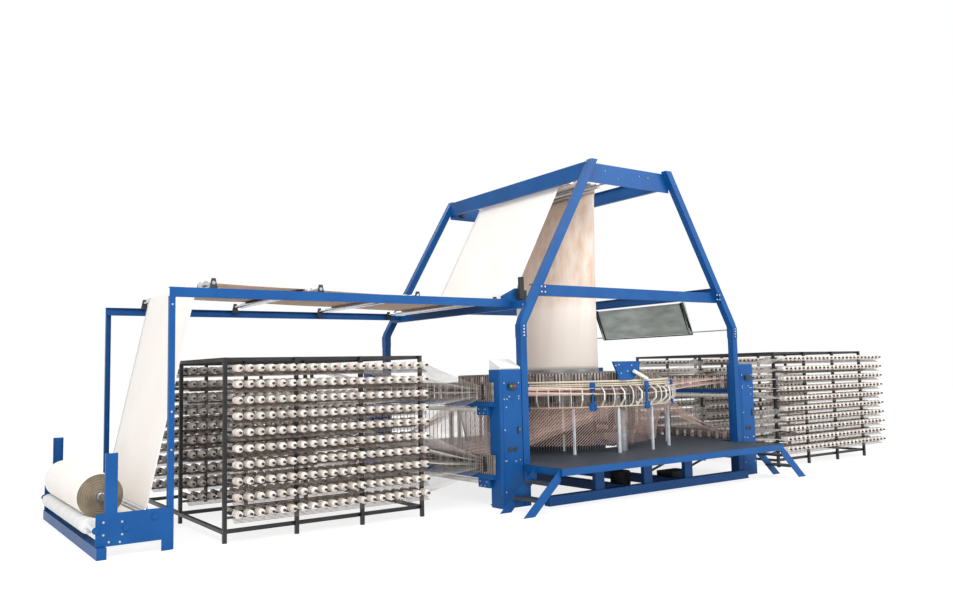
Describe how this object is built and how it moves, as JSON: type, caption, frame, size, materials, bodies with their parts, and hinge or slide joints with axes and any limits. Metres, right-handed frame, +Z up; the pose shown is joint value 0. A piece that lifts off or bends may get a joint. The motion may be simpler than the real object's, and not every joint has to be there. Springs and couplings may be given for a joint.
{
  "type": "power loom",
  "caption": "Circular loom weaving tape into tubular fabric, with bobbin creels, gantry rollers, bridge and surface winder; rotor, healds, rollers and roll move",
  "frame": {"origin": "on the floor under the weaving head's axis, in the middle of the four column anchors", "axes": "+X towards the right creel along the machine's length, +Y away from the side the picture shows, +Z up"},
  "size_m": [13.5, 5.08, 4.61],
  "materials": {
    "blue_paint": "satin",
    "beige_paint": "satin",
    "dark_paint": "satin",
    "grey_steel": "brushed",
    "tread_plate": "matt",
    "roller_steel": "polished",
    "roller_white": "matt",
    "tape_cream": "woven",
    "tape_pink": "woven",
    "fabric_beige": "woven",
    "fabric_brown": "woven",
    "shuttle_white": "gloss",
    "green_plastic": "gloss",
    "red_plastic": "gloss",
    "belt_rubber": "matt",
    "light_cover": "matt"
  },
  "bodies": {
    "frame": {"columns": "blue_paint", "gantry_posts": "blue_paint", "gantry_legs": "blue_paint", "gantry_channels": "blue_paint", "top_frame": "blue_paint", "base_frame": "blue_paint", "deck_plates": "tread_plate", "deck_frame": "blue_paint", "steps": "blue_paint", "step_treads": "tread_plate", "centre_column": "grey_steel", "cam_housing": "dark_paint", "weaving_ring": "grey_steel", "reed_ring": "grey_steel", "guide_rings": "beige_paint", "head_pillars": "dark_paint", "tension_hooks": "beige_paint", "comb_ring": "dark_paint", "ring_brackets": "blue_paint", "motors": "dark_paint", "drive_belt": "belt_rubber", "electric_boxes": "dark_paint", "oil_tank": "grey_steel", "control_box": "beige_paint", "warp_inlets": "blue_paint", "inlet_combs": "dark_paint", "creel_frames": "dark_paint", "bobbin_rows_near": "tape_cream", "bobbin_rows_inner": "tape_cream", "warp_tapes": "tape_pink", "bridge_frame": "blue_paint", "roller_bearings": "dark_paint", "nip_plates": "blue_paint", "winder_frame": "blue_paint", "fabric_tube": "fabric_beige", "fabric_web": "fabric_beige", "light_panel": "light_cover"},
    "rotor": {"main_shaft": "grey_steel", "drive_pulley": "dark_paint", "shuttle_rotor": "grey_steel", "shuttles": "shuttle_white", "weft_bobbins": "tape_cream"},
    "motor_pulley": {"motor_pulley": "dark_paint"},
    "heald_outer": {"heald_frame_outer": "dark_paint"},
    "heald_inner": {"heald_frame_inner": "dark_paint"},
    "roll_shaft": {"roll_shaft": "grey_steel"},
    "fabric_roll": {"fabric_roll": "fabric_brown"},
    "start_button": {"start_button": "green_plastic"},
    "stop_button": {"stop_button": "red_plastic"},
    "top_roller_right": {"top_roller_right": "roller_steel"},
    "top_roller_left": {"top_roller_left": "roller_steel"},
    "nip_roller_left": {"nip_roller_left": "roller_white"},
    "nip_roller_right": {"nip_roller_right": "roller_steel"},
    "bridge_roller_1": {"bridge_roller_1": "roller_steel"},
    "bridge_roller_2": {"bridge_roller_2": "roller_steel"},
    "bridge_roller_3": {"bridge_roller_3": "roller_steel"},
    "end_roller": {"end_roller": "roller_steel"},
    "low_guide_roller": {"low_guide_roller": "roller_steel"},
    "drum_front": {"drum_front": "roller_white"},
    "drum_rear": {"drum_rear": "roller_white"}
  },
  "joints": [
    {"name": "rotor_spin", "type": "hinge", "parent": "frame", "child": "rotor", "pos_m": [0, 0, 1.25], "axis": [0, 0, 1], "continuous": true},
    {"name": "motor_spin", "type": "hinge", "parent": "frame", "child": "motor_pulley", "pos_m": [-0.18, -1.5, 0.32], "axis": [0, 0, 1], "continuous": true},
    {"name": "heald_outer_slide", "type": "slide", "parent": "frame", "child": "heald_outer", "axis": [0, 0, 1], "range_m": [-0.04, 0.04]},
    {"name": "heald_inner_slide", "type": "slide", "parent": "frame", "child": "heald_inner", "axis": [0, 0, 1], "range_m": [-0.04, 0.04]},
    {"name": "top_roller_right_spin", "type": "hinge", "parent": "frame", "child": "top_roller_right", "pos_m": [-0.056, 0, 4.44], "axis": [0, 1, 0], "continuous": true},
    {"name": "top_roller_left_spin", "type": "hinge", "parent": "frame", "child": "top_roller_left", "pos_m": [-0.615, 0, 4.44], "axis": [0, 1, 0], "continuous": true},
    {"name": "nip_roller_left_spin", "type": "hinge", "parent": "frame", "child": "nip_roller_left", "pos_m": [-1.72, 0, 2.715], "axis": [0, 1, 0], "continuous": true},
    {"name": "nip_roller_right_spin", "type": "hinge", "parent": "frame", "child": "nip_roller_right", "pos_m": [-1.58207, 0, 2.63876], "axis": [0, 1, 0], "continuous": true},
    {"name": "bridge_roller_1_spin", "type": "hinge", "parent": "frame", "child": "bridge_roller_1", "pos_m": [-2.25, 0, 2.61086], "axis": [0, 1, 0], "continuous": true},
    {"name": "bridge_roller_2_spin", "type": "hinge", "parent": "frame", "child": "bridge_roller_2", "pos_m": [-3.43, 0, 2.64089], "axis": [0, 1, 0], "continuous": true},
    {"name": "bridge_roller_3_spin", "type": "hinge", "parent": "frame", "child": "bridge_roller_3", "pos_m": [-4.72, 0, 2.67372], "axis": [0, 1, 0], "continuous": true},
    {"name": "end_roller_spin", "type": "hinge", "parent": "frame", "child": "end_roller", "pos_m": [-5.95, 0, 2.695], "axis": [0, 1, 0], "continuous": true},
    {"name": "low_guide_roller_spin", "type": "hinge", "parent": "frame", "child": "low_guide_roller", "pos_m": [-6.54, 0, 0.345], "axis": [0, 1, 0], "continuous": true},
    {"name": "drum_front_spin", "type": "hinge", "parent": "frame", "child": "drum_front", "pos_m": [-6.81, 0, 0.27], "axis": [0, 1, 0], "continuous": true},
    {"name": "drum_rear_spin", "type": "hinge", "parent": "frame", "child": "drum_rear", "pos_m": [-7.09, 0, 0.27], "axis": [0, 1, 0], "continuous": true},
    {"name": "roll_lift", "type": "slide", "parent": "frame", "child": "roll_shaft", "axis": [0, 0, 1], "range_m": [0, 0.38]},
    {"name": "roll_spin", "type": "hinge", "parent": "roll_shaft", "child": "fabric_roll", "pos_m": [-6.95, 0, 0.53], "axis": [0, 1, 0], "continuous": true},
    {"name": "start_press", "type": "slide", "parent": "frame", "child": "start_button", "axis": [0, 1, 0], "range_m": [0, 0.005], "stiffness_N_per_m": 800},
    {"name": "stop_press", "type": "slide", "parent": "frame", "child": "stop_button", "axis": [0, 1, 0], "range_m": [0, 0.005], "stiffness_N_per_m": 800}
  ],
  "couplings": [
    {"joint": "motor_spin", "follows": "rotor_spin", "ratio": 3},
    {"joint": "heald_inner_slide", "follows": "heald_outer_slide", "ratio": -1},
    {"joint": "top_roller_right_spin", "follows": "nip_roller_left_spin", "ratio": -1.5},
    {"joint": "top_roller_left_spin", "follows": "nip_roller_left_spin", "ratio": -1.5},
    {"joint": "nip_roller_right_spin", "follows": "nip_roller_left_spin", "ratio": -1},
    {"joint": "bridge_roller_1_spin", "follows": "nip_roller_left_spin", "ratio": -2.1429},
    {"joint": "bridge_roller_2_spin", "follows": "nip_roller_left_spin", "ratio": -2.1429},
    {"joint": "bridge_roller_3_spin", "follows": "nip_roller_left_spin", "ratio": -2.1429},
    {"joint": "end_roller_spin", "follows": "nip_roller_left_spin", "ratio": -1.6667},
    {"joint": "low_guide_roller_spin", "follows": "nip_roller_left_spin", "ratio": 2.1429},
    {"joint": "drum_rear_spin", "follows": "drum_front_spin", "ratio": 1},
    {"joint": "roll_spin", "follows": "drum_front_spin", "ratio": -0.34091}
  ]
}
